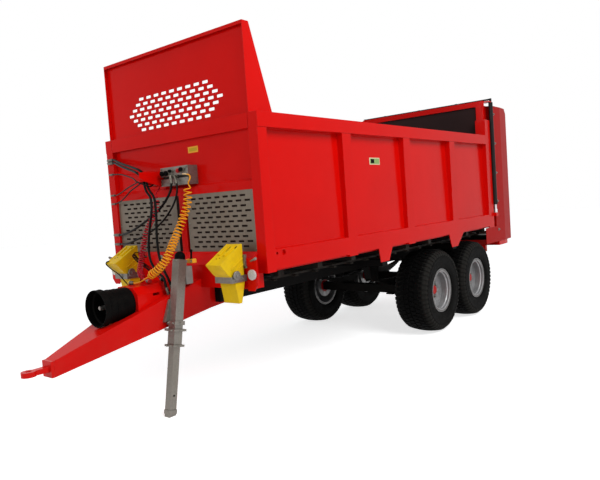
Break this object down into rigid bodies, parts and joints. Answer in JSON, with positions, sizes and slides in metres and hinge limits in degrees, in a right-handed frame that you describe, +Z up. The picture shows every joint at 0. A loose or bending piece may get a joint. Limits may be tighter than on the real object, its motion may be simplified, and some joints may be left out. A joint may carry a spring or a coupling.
{
  "type": "tandem-axle manure spreader",
  "caption": "Towed box spreader on two axles with a floor chain, rear guillotine door, upright beaters, tapered drawbar and parking jack.",
  "frame": {"origin": "on the ground, at the middle of the overall length and width", "axes": "-Y forward towards the tow eye, +X to the machine's left, +Z up"},
  "size_m": [2.558, 8.4659, 3.705],
  "materials": {
    "bare_steel": "bare worn steel",
    "black_hose": "black rubber hose",
    "black_paint": "semi-gloss black paint",
    "black_plastic": "black plastic",
    "chrome_rod": "chromed ram rod",
    "coupling_metal": "zinc and brass couplings",
    "dark_sheet": "dark painted sheet",
    "galvanised": "hot-dip galvanised steel",
    "lens": "moulded lens",
    "red_hose": "coiled air hose",
    "red_paint": "gloss red paint",
    "rim_silver": "silver rim paint, red hub",
    "tyre_rubber": "tyre rubber",
    "yellow_hose": "coiled air hose",
    "yellow_plastic": "yellow moulded plastic"
  },
  "bodies": {
    "root": {"air_coil_red": "red_hose", "air_coil_yellow": "yellow_hose", "axles": "black_paint", "cable_coil_black": "black_hose", "carrier_beams": "black_paint", "chain_shafts": "bare_steel", "chassis_rails": "black_paint", "chock_holders": "galvanised", "chocks": "yellow_plastic", "couplings": "coupling_metal", "drawbar": "red_paint", "driveline_housing": "red_paint", "floor": "bare_steel", "floor_chain": "bare_steel", "front_wall": "red_paint", "gear_beam": "red_paint", "headboard": "red_paint", "hose_arm": "red_paint", "hose_fittings": "coupling_metal", "hydraulic_hose_1": "black_hose", "hydraulic_hose_2": "black_hose", "hydraulic_hose_3": "black_hose", "hydraulic_hose_4": "black_hose", "jack_cap": "black_plastic", "jack_tube": "galvanised", "junction_block": "galvanised", "light_cable_1": "black_hose", "light_cable_2": "black_hose", "light_cable_3": "black_hose", "lights": "lens", "pto_guard": "black_plastic", "ram_rods": "chrome_rod", "rear_columns": "red_paint", "screens": "galvanised", "shields": "red_paint", "side_walls": "red_paint", "springs": "black_paint", "top_beam": "red_paint", "tow_eye": "red_paint"},
    "left_beater": {"beater_left": "bare_steel"},
    "right_beater": {"beater_right": "bare_steel"},
    "rear_door": {"door_frame": "red_paint", "door_panel": "dark_sheet", "hose_bar": "black_plastic", "ram_barrels": "black_paint"},
    "jack_inner": {"jack_leg": "galvanised"},
    "pto_input": {"pto_shaft": "bare_steel"},
    "wheel_front_left_body": {"tyre_front_left": "tyre_rubber", "wheel_front_left": "rim_silver"},
    "wheel_front_right_body": {"tyre_front_right": "tyre_rubber", "wheel_front_right": "rim_silver"},
    "wheel_rear_left_body": {"tyre_rear_left": "tyre_rubber", "wheel_rear_left": "rim_silver"},
    "wheel_rear_right_body": {"tyre_rear_right": "tyre_rubber", "wheel_rear_right": "rim_silver"}
  },
  "joints": [
    {"name": "wheel_front_left_turn", "type": "hinge", "parent": "root", "child": "wheel_front_left_body", "pos_m": [1.025, 1.183, 0.585], "axis": [1, 0, 0], "continuous": true},
    {"name": "wheel_front_right_turn", "type": "hinge", "parent": "root", "child": "wheel_front_right_body", "pos_m": [-1.025, 1.183, 0.585], "axis": [1, 0, 0], "continuous": true},
    {"name": "wheel_rear_left_turn", "type": "hinge", "parent": "root", "child": "wheel_rear_left_body", "pos_m": [1.025, 2.428, 0.585], "axis": [1, 0, 0], "continuous": true},
    {"name": "wheel_rear_right_turn", "type": "hinge", "parent": "root", "child": "wheel_rear_right_body", "pos_m": [-1.025, 2.428, 0.585], "axis": [1, 0, 0], "continuous": true},
    {"name": "left_beater_turn", "type": "hinge", "parent": "root", "child": "left_beater", "pos_m": [0.55, 3.753, 1.2], "axis": [0, 0, 1], "continuous": true},
    {"name": "right_beater_turn", "type": "hinge", "parent": "root", "child": "right_beater", "pos_m": [-0.55, 3.753, 1.2], "axis": [0, 0, 1], "continuous": true},
    {"name": "pto_turn", "type": "hinge", "parent": "root", "child": "pto_input", "pos_m": [0, -3.307, 1.11], "axis": [0, 1, 0], "continuous": true},
    {"name": "rear_door_lift", "type": "slide", "parent": "root", "child": "rear_door", "axis": [0, 0, 1], "range_m": [0, 1.45]},
    {"name": "jack_wind", "type": "slide", "parent": "root", "child": "jack_inner", "axis": [0, 0.1821, 0.9833], "range_m": [0, 0.45]}
  ],
  "couplings": [
    {"joint": "right_beater_turn", "follows": "left_beater_turn", "ratio": -1},
    {"joint": "pto_turn", "follows": "left_beater_turn", "ratio": 2.4}
  ]
}
